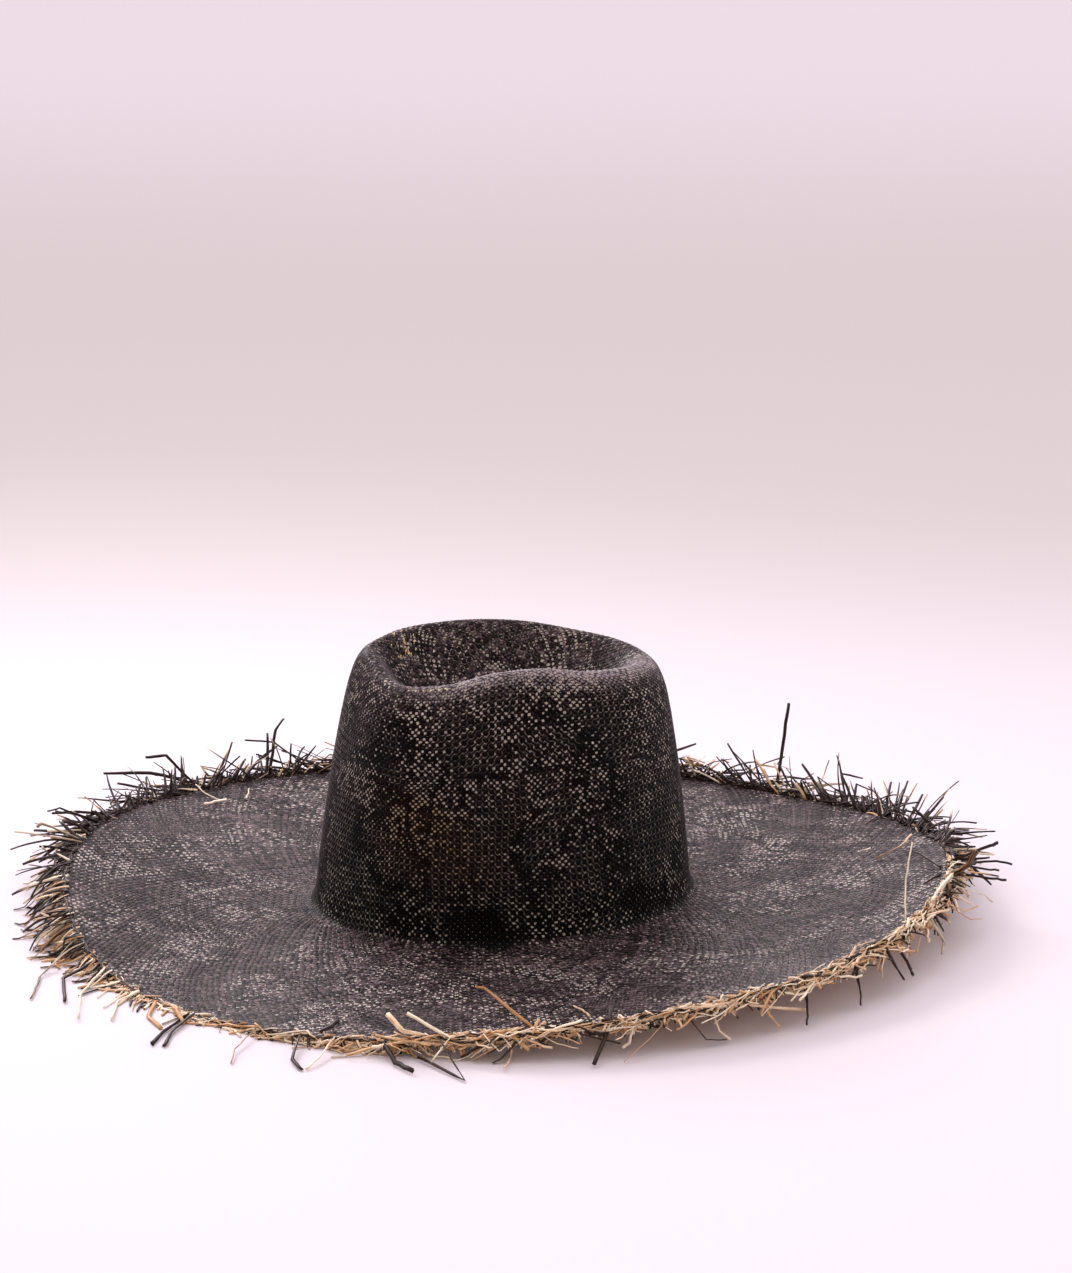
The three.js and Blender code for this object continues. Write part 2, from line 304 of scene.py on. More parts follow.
def straw_piece(name, blocks, materials, under_slot, replaced):
    """One object from blocks of straws of like length. A block is the corners of its straws, as an array of
    straw, row, corner and coordinate, and their numbers. Each straw is a closed strip, its last side the
    underside, with a place of its own in the map for baking."""
    points = []
    numbers = {key: [] for key in blocks[0][1]}
    base = 0
    per_shelf = 96  # straws side by side in the map
    lengths = [block[0].shape[1] for block in blocks]
    shelves = sum(math.ceil(block[0].shape[0] / per_shelf) * rows for block, rows in zip(blocks, lengths))
    shelf_top = 0.0
    quads, quad_slots, quad_maps, caps, cap_sides = [], [], [], [], 0
    for corners, values in blocks:
        straws, rows, sides, _ = corners.shape
        ids = base + np.arange(straws * rows * sides).reshape(straws, rows, sides)
        base += straws * rows * sides
        points.append(corners.reshape(-1, 3))
        for key in numbers:
            numbers[key].append(np.asarray(values[key], float).reshape(-1))
        a = ids[:, :-1, :]
        b = np.roll(ids, -1, axis=2)[:, :-1, :]
        c = np.roll(ids, -1, axis=2)[:, 1:, :]
        d = ids[:, 1:, :]
        quads.append(np.stack([a, b, c, d], axis=-1).reshape(-1, 4))
        side_slot = np.zeros((straws, rows - 1, sides), int)
        side_slot[..., -1] = under_slot
        quad_slots.append(side_slot.reshape(-1))
        straw = np.arange(straws)
        left = (straw % per_shelf)[:, None, None] / per_shelf
        shelf = shelf_top + (straw // per_shelf)[:, None, None] * rows
        side = np.arange(sides)[None, None, :]
        row = np.arange(rows - 1)[None, :, None]
        width = 1 / per_shelf
        u0 = np.broadcast_to(left + width * (side + 0.08) / sides, side_slot.shape)
        u1 = np.broadcast_to(left + width * (side + 0.92) / sides, side_slot.shape)
        v0 = np.broadcast_to((shelf + 0.1 + row * (rows - 1.2) / (rows - 1)) / shelves, side_slot.shape)
        v1 = np.broadcast_to((shelf + 0.1 + (row + 1) * (rows - 1.2) / (rows - 1)) / shelves, side_slot.shape)
        quad_maps.append(np.stack([u0, v0, u1, v0, u1, v1, u0, v1], axis=-1).reshape(-1, 4, 2))
        shelf_top += math.ceil(straws / per_shelf) * rows
        first, last = ids[:, 0, ::-1], ids[:, -1, :]
        caps.append(np.concatenate([first, last]))
        cap_sides = sides
    points = np.concatenate(points) * 0.001  # to metres
    quads, quad_slots = np.concatenate(quads), np.concatenate(quad_slots)
    quad_maps = np.concatenate(quad_maps)
    caps = np.concatenate(caps)
    loops = np.concatenate([quads.reshape(-1), caps.reshape(-1)])
    starts = np.concatenate(
        [np.arange(len(quads)) * 4, len(quads) * 4 + np.arange(len(caps)) * cap_sides]
    )
    mesh = bpy.data.meshes.new(name)
    mesh.vertices.add(len(points))
    mesh.vertices.foreach_set("co", points.reshape(-1).astype(np.float32))
    mesh.loops.add(len(loops))
    mesh.loops.foreach_set("vertex_index", loops.astype(np.int32))
    mesh.polygons.add(len(starts))
    mesh.polygons.foreach_set("loop_start", starts.astype(np.int32))
    mesh.update(calc_edges=True)
    mesh.polygons.foreach_set("use_smooth", np.ones(len(starts), bool))
    mesh.polygons.foreach_set(
        "material_index", np.concatenate([quad_slots, np.full(len(caps), under_slot)]).astype(np.int32)
    )
    ends = np.empty(len(mesh.edges) * 2, np.int32)
    mesh.edges.foreach_get("vertices", ends)
    ends = ends.reshape(-1, 2)
    lengthwise = (np.abs(ends[:, 0] - ends[:, 1]) == cap_sides) & (ends[:, 0] % cap_sides != 1)
    if cap_sides == 3:
        mesh.attributes.new("sharp_edge", "BOOLEAN", "EDGE").data.foreach_set("value", lengthwise)
    for key, values in numbers.items():
        mesh.attributes.new(key, "FLOAT", "POINT").data.foreach_set(
            "value", np.concatenate(values).astype(np.float32)
        )
    cap_maps = np.zeros((len(caps) * cap_sides, 2))
    maps = np.concatenate([quad_maps.reshape(-1, 2), cap_maps])
    baking = mesh.uv_layers.new(name="OFBake")
    baking.uv.foreach_set("vector", maps.reshape(-1).astype(np.float32))
    for material in materials:
        mesh.materials.append(material)
    piece = bpy.data.objects.new(name, mesh)
    bpy.context.scene.collection.objects.link(piece)
    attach(piece, "root")
    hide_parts(replaced)
    return piece


def new_group(name, inputs, outputs):
    group = bpy.data.node_groups.new(name, "ShaderNodeTree")
    for label, kind, value in inputs:
        socket = group.interface.new_socket(name=label, in_out="INPUT", socket_type=kind)
        socket.default_value = value
    for label, kind in outputs:
        group.interface.new_socket(name=label, in_out="OUTPUT", socket_type=kind)
    return group


def node(tree, kind, settings=None, **values):
    """A node with its settings and inputs. An input is named, or is i and its number, and takes a value or a
    socket to link from."""
    made = tree.nodes.new(kind)
    for key, value in (settings or {}).items():
        setattr(made, key, value)
    for key, value in values.items():
        socket = made.inputs[int(key[1:]) if key[0] == "i" else key]
        if isinstance(value, bpy.types.NodeSocket):
            tree.links.new(value, socket)
        else:
            socket.default_value = value
    return made


def maths(tree, operation, a, b=0.0):
    return node(tree, "ShaderNodeMath", {"operation": operation}, i0=a, i1=b).outputs[0]


def times(tree, a, b):
    return maths(tree, "MULTIPLY", a, b)


def vector_maths(tree, operation, a, b=(0, 0, 0)):
    made = node(tree, "ShaderNodeVectorMath", {"operation": operation}, i0=a, i1=b)
    gives_number = operation in ("DISTANCE", "DOT_PRODUCT", "LENGTH")
    return made.outputs["Value" if gives_number else "Vector"]


def noise(tree, place, scale, detail, roughness=0.5):
    made = node(tree, "ShaderNodeTexNoise", Vector=place, Scale=scale, Detail=detail, Roughness=roughness)
    return made.outputs["Fac"]


def blended(tree, share, first, second):
    made = node(tree, "ShaderNodeMix", {"data_type": "RGBA"}, i0=share, i6=first, i7=second)
    return made.outputs[2]


def number_of(tree, name):
    return node(tree, "ShaderNodeAttribute", {"attribute_name": name}).outputs["Fac"]


def spread(tree, value, low, high, to_low=0.0, to_high=1.0):
    """The value's way from low to high, eased at both ends, as a number from to_low to to_high."""
    made = node(tree, "ShaderNodeMapRange", {"clamp": True, "interpolation_type": "SMOOTHSTEP"}, Value=value)
    for label, number in (("From Min", low), ("From Max", high), ("To Min", to_low), ("To Max", to_high)):
        made.inputs[label].default_value = number
    return made.outputs["Result"]


# Fibres of a straw: fine streaks along it, and a tone of its own for each straw.
fibre = new_group(
    "straw_fibre",
    [("Streaks across", "NodeSocketFloat", 3.0), ("Streak length", "NodeSocketFloat", 0.12)],
    [("Streak", "NodeSocketFloat"), ("Tone", "NodeSocketFloat"), ("Cloud", "NodeSocketFloat")],
)
group_in = fibre.nodes.new("NodeGroupInput")
group_out = fibre.nodes.new("NodeGroupOutput")
straw_number = number_of(fibre, "straw")
streak_place = node(
    fibre,
    "ShaderNodeCombineXYZ",
    X=times(fibre, number_of(fibre, "across"), group_in.outputs["Streaks across"]),
    Y=times(fibre, number_of(fibre, "along"), group_in.outputs["Streak length"]),
    Z=times(fibre, straw_number, 97.0),
).outputs[0]
tone_noise = node(
    fibre,
    "ShaderNodeTexNoise",
    {"noise_dimensions": "1D"},
    W=times(fibre, straw_number, 513.0),
    Scale=1.0,
    Detail=0.0,
)
object_place = node(fibre, "ShaderNodeTexCoord").outputs["Object"]
fibre.links.new(noise(fibre, streak_place, 1.0, 2.0, 0.6), group_out.inputs["Streak"])
fibre.links.new(spread(fibre, tone_noise.outputs["Fac"], 0.25, 0.75), group_out.inputs["Tone"])
fibre.links.new(noise(fibre, object_place, 16.0, 3.0, 0.55), group_out.inputs["Cloud"])


def straw_material(name):
    material = bpy.data.materials.new(name)
    material.use_nodes = True
    tree = material.node_tree
    shader = tree.nodes["Principled BSDF"]
    grain = tree.nodes.new("ShaderNodeGroup")
    grain.node_tree = fibre
    return material, tree, shader, grain


def finish_straw(tree, shader, grain, rough, bump):
    roughness = spread(tree, grain.outputs["Streak"], 0.3, 0.7, rough - 0.07, rough + 0.1)
    tree.links.new(roughness, shader.inputs["Roughness"])
    ridge = node(tree, "ShaderNodeBump", Height=grain.outputs["Streak"], Strength=bump, Distance=0.0002)
    tree.links.new(ridge.outputs["Normal"], shader.inputs["Normal"])


# dyed face of the weave: black with a purple or brown cast, and bare straw where the gaps open, with the
# colours of its painted shade, painted top light and painted crest highlight
DARK_DYE_AND_SHADE = (0.0008, 0.0007, 0.0007, 1)
DYE_PURPLE = (0.0040, 0.0026, 0.0031, 1)
DYE_BROWN = (0.007, 0.0036, 0.0022, 1)
DYE_SHEEN = (0.012, 0.009, 0.010, 1)
PAINTED_TOP_LIGHT = (0.235, 0.156, 0.172, 1)
CREST_HIGHLIGHT = (0.43, 0.36, 0.38, 1)
BARE_PALE = (0.50, 0.45, 0.40, 1)
BARE_WARM = (0.42, 0.32, 0.21, 1)
dyed, tree, shader, grain = straw_material("dyed_black_straw")
place = node(tree, "ShaderNodeTexCoord").outputs["Object"]
placed = node(tree, "ShaderNodeSeparateXYZ", Vector=place).outputs
surface = node(tree, "ShaderNodeNewGeometry").outputs["Normal"]
facing_up = node(tree, "ShaderNodeSeparateXYZ", Vector=surface).outputs["Z"]
flat_place = vector_maths(tree, "MULTIPLY", place, (1, 1, 0))
from_ridge = maths(tree, "ABSOLUTE", number_of(tree, "across"))
mottle = noise(tree, place, 150.0, 2.0)
brim_patch = noise(tree, flat_place, 24.0, 2.0, 0.6)
speck_patch = noise(tree, place, 42.0, 3.0, 0.65)
own_speck = noise(tree, place, 330.0, 0.0)

# each straw has a tone of its own, and brown shows through the black in clouds at one side of the crown
WARM_PLACE = (0.057, -0.052, 0.066)
WARM_REACH = 0.05
near_warm = spread(tree, vector_maths(tree, "DISTANCE", place, WARM_PLACE), 0.012, WARM_REACH, 1.0, 0.12)
warm = times(tree, near_warm, spread(tree, grain.outputs["Cloud"], 0.40, 0.58))
own_tone = blended(tree, grain.outputs["Tone"], DARK_DYE_AND_SHADE, DYE_PURPLE)
cast = blended(tree, warm, own_tone, DYE_BROWN)
face = blended(tree, spread(tree, grain.outputs["Streak"], 0.5, 0.8, 0.0, 0.6), cast, DYE_SHEEN)

# painted light: the black is made paler where the hat faces up, as light from above and its sheen show it,
# more on some straws and in some patches than in others
fade = spread(tree, facing_up, 0.2, 0.75)
fade = times(tree, fade, spread(tree, grain.outputs["Streak"], 0.3, 0.7, 0.6, 1.0))
fade = times(tree, fade, spread(tree, mottle, 0.38, 0.6, 0.38, 1.0))
fade = times(tree, fade, spread(tree, grain.outputs["Tone"], 0.15, 0.9, 0.14, 1.0))
fade = times(tree, fade, spread(tree, brim_patch, 0.4, 0.58, 0.76, 1.0))
face = blended(tree, fade, face, PAINTED_TOP_LIGHT)

# painted highlight: a pale band along one side of the crest
ALONG_CREST = (0.34, 0.94, 0.0)
crest_highlight = times(tree, spread(tree, placed["Z"], 0.112, 0.127), spread(tree, placed["X"], -0.005, 0.03))
crest_highlight = times(tree, crest_highlight, spread(tree, facing_up, 0.3, 0.75))
along_crest = vector_maths(tree, "DOT_PRODUCT", place, ALONG_CREST)
crest_highlight = times(tree, crest_highlight, spread(tree, along_crest, -0.055, -0.01, 0.2, 1.0))
crest_highlight = times(tree, crest_highlight, spread(tree, mottle, 0.36, 0.58, 0.5, 1.0))
face = blended(tree, crest_highlight, face, CREST_HIGHLIGHT)

# painted shade: a straw is darker towards its edges, where it dips under its neighbours, and where it passes
# under one
face = blended(tree, spread(tree, from_ridge, 0.3, 0.9, 0.0, 0.9), face, DARK_DYE_AND_SHADE)
face = blended(tree, spread(tree, number_of(tree, "float"), 0.0, 0.8, 0.75, 0.0), face, DARK_DYE_AND_SHADE)

# and painted shade in the fold at the crown's foot, where it stays black
fold_shade = times(tree, spread(tree, placed["Z"], 0.018, 0.034, 1.0, 0.0), spread(tree, facing_up, 0.1, 0.3))
fold_shade = times(tree, fold_shade, spread(tree, facing_up, 0.75, 0.93, 1.0, 0.0))
face = blended(tree, times(tree, fold_shade, 0.85), face, DARK_DYE_AND_SHADE)

# each gap shows a speck of its own size, and whole patches show more or less of them
family_side = maths(tree, "SUBTRACT", noise(tree, place, 26.0, 1.0), 0.5)
family_side = times(tree, family_side, number_of(tree, "family"))
patch_size = times(
    tree,
    spread(tree, speck_patch, 0.36, 0.62, 0.58, 1.16),
    spread(tree, family_side, -0.14, -0.02, 0.6, 1.0),
)
speck_size = times(tree, spread(tree, own_speck, 0.34, 0.64, 0.32, 1.45), patch_size)
on_brim = spread(tree, vector_maths(tree, "LENGTH", flat_place), 0.098, 0.12)
# painted shade: the specks are smaller low on the crown's wall
low_wall_shade = maths(tree, "MAXIMUM", on_brim, spread(tree, placed["Z"], 0.02, 0.075, 0.82, 1.0))
speck_size = times(tree, speck_size, low_wall_shade)
speck_size = times(tree, speck_size, spread(tree, placed["Z"], 0.1, 0.116, 1.0, 1.25))
brim_share = spread(tree, brim_patch, 0.42, 0.57, 0.6, 1.3)
less = times(tree, on_brim, maths(tree, "SUBTRACT", 1.0, brim_share))
speck_size = times(tree, speck_size, maths(tree, "SUBTRACT", 1.0, less))
speck = spread(tree, times(tree, number_of(tree, "bare"), speck_size), 0.42, 0.74)

# in some patches the edges of one family show as fine lines
edge_line = times(tree, spread(tree, from_ridge, 0.4, 0.9), spread(tree, family_side, 0.02, 0.1, 0.0, 0.36))
edge_line = times(tree, edge_line, spread(tree, own_speck, 0.3, 0.6, 0.35, 1.0))
speck = maths(tree, "MAXIMUM", speck, edge_line)

# a dark patch at the crown's foot, where no bare specks show
DARK_PATCH_PLACE = (0.0735, -0.041, 0.012)
DARK_PATCH_SHAPE = (1 / 0.019, 1 / 0.021, 1 / 0.014)  # one over its half sizes
from_dark_patch = vector_maths(tree, "SUBTRACT", place, DARK_PATCH_PLACE)
from_dark_patch = vector_maths(tree, "MULTIPLY", from_dark_patch, DARK_PATCH_SHAPE)
ragged = maths(tree, "ADD", vector_maths(tree, "LENGTH", from_dark_patch), times(tree, speck_patch, 1.6))
dark_patch = spread(tree, ragged, 1.45, 1.95, 1.0, 0.0)
speck = times(tree, speck, maths(tree, "SUBTRACT", 1.0, dark_patch))
face = blended(tree, dark_patch, face, DARK_DYE_AND_SHADE)
bare_colour = blended(tree, warm, BARE_PALE, BARE_WARM)
tree.links.new(blended(tree, speck, face, bare_colour), shader.inputs["Base Color"])
finish_straw(tree, shader, grain, 0.44, 0.25)
shader.inputs["Specular IOR Level"].default_value = 0.045
shader.inputs["Specular Tint"].default_value = (1.0, 0.88, 0.90, 1)
shader.inputs["Sheen Weight"].default_value = 0.15
shader.inputs["Sheen Roughness"].default_value = 0.26
shader.inputs["Sheen Tint"].default_value = (1.0, 0.78, 0.82, 1)

# the inside and underside, never dyed
NATURAL_DEEP = (0.74, 0.51, 0.28, 1)
NATURAL_PALE = (0.84, 0.66, 0.42, 1)
NATURAL_STREAK = (0.40, 0.23, 0.11, 1)
natural, tree, shader, grain = straw_material("natural_straw")
pale_tan = blended(tree, grain.outputs["Tone"], NATURAL_DEEP, NATURAL_PALE)
streaks = spread(tree, grain.outputs["Streak"], 0.45, 0.75, 0.0, 0.6)
tan = blended(tree, streaks, pale_tan, NATURAL_STREAK)
tree.links.new(tan, shader.inputs["Base Color"])
finish_straw(tree, shader, grain, 0.5, 0.3)

# Zones of the crown's weave from the dent's centre down and on to the brim's root: name, straws in each
# family, and the places where the zone starts and ends.
CROWN_TOP_ZONES = [
    ("dent centre", 8, 0.14, 0.699),
    ("dent floor", 22, 0.699, 1.338),
    ("dent toe", 41, 1.338, 2.501),
    ("dent slope", 70, 2.501, 4.039),
    ("crest", 106, 4.039, 6.008),
    ("shoulder", 143, 6.008, 8.888),
]
CROWN_WALL_ZONES = [("wall", 172, 8.888, 13.57)]
BRIM_ZONES = [
    ("brim root", 162, 13.57, 14.161),
    ("inner brim", 199, 14.161, 14.378),
    ("middle brim", 243, 14.378, 14.665),
    ("outer brim", 301, 14.665, 15.0),
]


def woven_piece(name, zones, lean, seed):
    blocks = [
        leaning_straws(count, start, end, lean, seed + k)
        for k, (_, count, start, end) in enumerate(zones)
    ]
    return straw_piece(name, blocks, [dyed, natural], 1, "woven_body")


woven_piece("crown_top_leaning_right", CROWN_TOP_ZONES, 1, 10)
woven_piece("crown_top_leaning_left", CROWN_TOP_ZONES, -1, 20)
woven_piece("crown_wall_leaning_right", CROWN_WALL_ZONES, 1, 30)
woven_piece("crown_wall_leaning_left", CROWN_WALL_ZONES, -1, 40)

# Brim: the same weave carried on outwards, with straws about 3 mm apart.
# It is one layer, black above and straw-coloured below, and ends in the frayed edge.
woven_piece("brim_leaning_right", BRIM_ZONES, 1, 50)
woven_piece("brim_leaning_left", BRIM_ZONES, -1, 60)

# Frayed ends: the straws of both families run on past the last row as loose, crossing ends, 5 to 38 mm
# long and 1 to 2 mm wide. The upper ones are dyed and stand up at the back, and hang down at the front and
# the left over a lower layer, which is straw-coloured there.
# azimuth, then for the ends that lean anticlockwise: length, degrees from straight out, lift, droop
ANTICLOCKWISE_ENDS = [
    (0, 7, 54, -14, 30), (30, 8, 52, -12, 30), (58, 12, 44, -4, 20), (74, 19, 38, 8, 6), (90, 23, 46, 32, 0),
    (112, 27, 80, 34, 0), (130, 26, 76, 33, 0), (160, 28, 80, 22, 8), (190, 35, 66, 16, 10),
    (212, 32, 60, 12, 16), (232, 25, 48, 5, 16), (250, 26, 40, -6, 24), (268, 32, 26, -8, 34),
    (284, 27, 30, -12, 40), (300, 11, 45, -16, 40),
]
CLOCKWISE_ENDS = [
    (0, 7, 54, -14, 30), (30, 8, 52, -12, 30), (58, 13, 40, -2, 20), (74, 20, 18, 4, 0), (90, 26, 56, 20, 26),
    (112, 31, 70, 26, 38), (130, 29, 70, 30, 36), (160, 20, 68, 32, 12), (190, 17, 64, 32, 4),
    (212, 19, 58, 32, 0), (232, 20, 28, 16, 8), (250, 24, 22, -4, 22), (268, 27, 6, -10, 44),
    (284, 22, 8, -16, 48), (300, 9, 40, -16, 40),
]
END_LENGTH, END_LEAN, END_LIFT, END_DROOP = 1, 2, 3, 4
# azimuth, share of bare straw in the upper layer, and in the lower
BARE_ENDS = [
    (0, 0.65, 0.9), (30, 0.6, 0.9), (58, 0.35, 0.7), (70, 0.05, 0.2), (90, 0.05, 0.15), (130, 0.08, 0.2),
    (160, 0.05, 0.25), (190, 0.05, 0.25), (212, 0.06, 0.22), (240, 0.04, 0.14), (252, 0.06, 0.35),
    (262, 0.2, 0.92), (286, 0.45, 0.95), (305, 0.65, 0.9),
]
BARE_ABOVE, BARE_BELOW = 1, 2
ENDS_PER_LAYER = 540
SHORTEST_END, LONGEST_END = 5, 38
KINKED_SHARE = 0.24
FOLDED_FROM, FOLDED_TO, FOLDED_SHARE = 96, 150, 0.5  # the back right, in azimuth
FLOOR_CLEAR = 0.6  # the lowest that a straw's middle may lie
LOWEST_CORNER = 0.15


def outward(azimuth):
    angle = np.radians(azimuth)
    zero = np.zeros_like(angle)
    return (
        np.stack([np.cos(angle), np.sin(angle), zero], axis=-1),
        np.stack([-np.sin(angle), np.cos(angle), zero], axis=-1),
    )


def edge_point(azimuth, inside, height):
    out, _ = outward(azimuth)
    point = out * (around(BRIM_EDGE, EDGE_RADIUS, azimuth) - inside)[..., None]
    point[..., 2] = around(BRIM_EDGE, EDGE_HEIGHT, azimuth) + height
    return point


def shared_drift(chance, azimuth, fewest, most):
    """A slow change round the hat that neighbours share, of about -1 to 1."""
    waves = chance.integers(fewest, most, 7)
    phases = chance.uniform(0, 2 * math.pi, 7)
    angle = np.radians(azimuth)[..., None]
    return np.sin(angle * waves + phases).sum(axis=-1) / math.sqrt(7) * 1.2


def rods_along(path, width, thickness, chance, roll_spread=0.6):
    """Flat rods of four corners along paths, as an array of rod, row, corner and coordinate."""
    along = np.gradient(path, axis=1)
    along /= np.linalg.norm(along, axis=-1, keepdims=True) + 1e-9
    up = np.broadcast_to(np.array([0.0, 0.0, 1.0]), along.shape)
    side = np.cross(along, up)
    side /= np.linalg.norm(side, axis=-1, keepdims=True) + 1e-9
    top = np.cross(side, along)
    rods, rows = path.shape[:2]
    roll = chance.normal(0, roll_spread, (rods, 1, 1))
    roll = roll + chance.uniform(-0.2, 0.2, (rods, 1, 1)) * np.arange(rows)[None, :, None]
    first = side * np.cos(roll) + top * np.sin(roll)
    second = top * np.cos(roll) - side * np.sin(roll)
    across = first * (width / 2)[..., None]
    through = second * (thickness / 2)[..., None]
    corners = np.stack([path - across, path + through, path + across, path - through], axis=2)
    corners[..., 2] = np.maximum(corners[..., 2], LOWEST_CORNER)
    return corners


def frayed_layer(chance, lean, below, rows=9):
    """The ends of one family in one layer, in paths that start under the last row."""
    count = ENDS_PER_LAYER
    table = ANTICLOCKWISE_ENDS if lean > 0 else CLOCKWISE_ENDS
    azimuth = (np.arange(count) + chance.normal(0, 0.28, count)) * 360 / count
    clump = shared_drift(chance, azimuth, 30, 110)
    length = around(table, END_LENGTH, azimuth) * (0.92 + 0.3 * clump) * chance.lognormal(0, 0.26, count)
    length = np.clip(length * (0.8 if below else 1.0), SHORTEST_END, LONGEST_END)
    heading = around(table, END_LEAN, azimuth) + 9 * shared_drift(chance, azimuth, 12, 60)
    heading = lean * (heading + chance.normal(0, 8, count))
    lift = around(table, END_LIFT, azimuth) + 8 * shared_drift(chance, azimuth, 10, 50)
    lift = lift + chance.normal(0, 9, count) - (10 if below else 0)
    droop = around(table, END_DROOP, azimuth) * chance.uniform(0.5, 1.6, count)
    curl = 16 * shared_drift(chance, azimuth, 12, 70) + chance.normal(0, 12, count)
    kinked = chance.random(count) < KINKED_SHARE
    kink_row = np.where(kinked, chance.integers(2, rows - 2, count), rows)
    kink = chance.choice([-1.0, 1.0], count) * chance.uniform(30, 85, count)
    kink_up = chance.uniform(-35, 35, count)
    # at the back right every second anticlockwise end is folded over and runs back along the edge
    folded = (lean > 0) & (azimuth > FOLDED_FROM) & (azimuth < FOLDED_TO)
    folded = folded & (chance.random(count) < FOLDED_SHARE)
    kink_row = np.where(folded, chance.integers(4, 7, count), kink_row)
    kink = np.where(folded, -chance.uniform(75, 130, count), kink)
    kink_up = np.where(folded, -chance.uniform(45, 80, count), kink_up)
    out, tangent = outward(azimuth)
    inside = chance.uniform(0.5, 3, count)
    height = chance.uniform(0.1, 0.9, count) - (1.0 if below else 0)
    path = [edge_point(azimuth, inside, height)]
    share = 1 / (rows - 1)
    for row in range(1, rows):
        at_kink = row == kink_row
        heading = heading + curl * share + np.where(at_kink, kink, 0)
        lift = lift - droop * share + chance.normal(0, 2, count) + np.where(at_kink, kink_up, 0)
        turn, up = np.radians(heading), np.radians(np.clip(lift, -80, 80))
        step = (out * np.cos(turn)[:, None] + tangent * np.sin(turn)[:, None]) * np.cos(up)[:, None]
        step[:, 2] = np.sin(up)
        point = path[-1] + step * (length * share)[:, None]
        point[:, 2] = np.maximum(point[:, 2], FLOOR_CLEAR)
        path.append(point)
    path = np.stack(path, axis=1)
    width = chance.uniform(1.0, 1.9, (count, 1)) * (1 - 0.3 * np.linspace(0, 1, rows) ** 3)
    corners = rods_along(path, width, width * chance.uniform(0.4, 0.65, (count, 1)), chance)
    is_bare = chance.random(count) < around(BARE_ENDS, BARE_BELOW if below else BARE_ABOVE, azimuth)
    bare = np.where(is_bare, 0.9, 0.08)[:, None, None] + np.array([0.0, -0.05, 0.0, 0.3])
    turned = (chance.random(count) < 0.3)[:, None, None] * np.linspace(-0.4, 0.6, rows)[None, :, None]
    bare = bare - turned * np.where(is_bare, 1, -1)[:, None, None]
    return corners, rod_numbers(chance, corners, length, bare)


def rod_numbers(chance, corners, length, bare):
    rods, rows, sides, _ = corners.shape
    shape = (rods, rows, sides)
    along = np.linspace(0, 1, rows)[None, :, None] * np.reshape(length, (-1, 1, 1))
    return {
        "bare": np.clip(np.broadcast_to(bare, shape), 0, 1),
        "straw": np.broadcast_to(chance.random((rods, 1, 1)), shape),
        "across": np.broadcast_to(np.array([-1.0, 0.0, 1.0, 0.0]), shape),
        "along": np.broadcast_to(along, shape),
    }


# an end is dyed or bare, with its streaks showing where one runs out into the other
END_BLACK = (0.009, 0.005, 0.005, 1)
END_BROWN_BLACK = (0.034, 0.021, 0.018, 1)
END_BROWN = (0.56, 0.31, 0.15, 1)
END_TAN = (0.93, 0.66, 0.40, 1)
END_PALE = (0.96, 0.84, 0.66, 1)
END_STREAK = (0.24, 0.10, 0.04, 1)
ends_straw, tree, shader, grain = straw_material("frayed_straw")
tone, streak = grain.outputs["Tone"], grain.outputs["Streak"]
black = blended(tree, tone, END_BLACK, END_BROWN_BLACK)
brown_tan = blended(tree, tone, END_BROWN, END_TAN)
light_tan = blended(tree, spread(tree, tone, 0.3, 0.85), brown_tan, END_PALE)
tan = blended(tree, spread(tree, streak, 0.45, 0.78, 0.0, 0.75), light_tan, END_STREAK)
streak_share = times(tree, maths(tree, "SUBTRACT", streak, 0.5), 0.7)
mask = spread(tree, maths(tree, "ADD", number_of(tree, "bare"), streak_share), 0.38, 0.62)
tree.links.new(blended(tree, mask, black, tan), shader.inputs["Base Color"])
finish_straw(tree, shader, grain, 0.5, 0.3)
shader.inputs["Specular IOR Level"].default_value = 0.3
shader.inputs["Specular Tint"].default_value = (1.0, 0.82, 0.74, 1)

chance = np.random.default_rng(90)
blocks = [frayed_layer(chance, lean, below) for below in (True, False) for lean in (1, -1)]
straw_piece("frayed_ends", blocks, [ends_straw], 0, "frayed_edge")

# Last row of the weave: three thin straws twisted along the edge, which hold the ends. They are dyed like
# the brim, with one of them a little barer than the others.
TWISTS = 110 / 3  # turns of each straw round the others on its way round the hat
EDGE_LENGTH = 1445.0
chance = np.random.default_rng(91)
rows = 720
azimuth = np.broadcast_to(np.linspace(0, 360, rows), (3, rows))
phase = np.radians(azimuth * TWISTS) + 2 * math.pi * np.arange(3)[:, None] / 3
uneven = 0.5 * shared_drift(chance, azimuth[0], 25, 120)
path = edge_point(azimuth, 0.5 - 0.5 * np.cos(phase) + uneven, 0.35 + 0.45 * np.sin(phase))
corners = rods_along(path, np.full((3, rows), 1.1), np.full((3, rows), 0.8), chance)
bare = np.array([0.05, 0.1, 0.35])[:, None, None]
blocks = [(corners, rod_numbers(chance, corners, np.full(3, EDGE_LENGTH), bare))]
straw_piece("edge_twist", blocks, [ends_straw], 0, "frayed_edge")

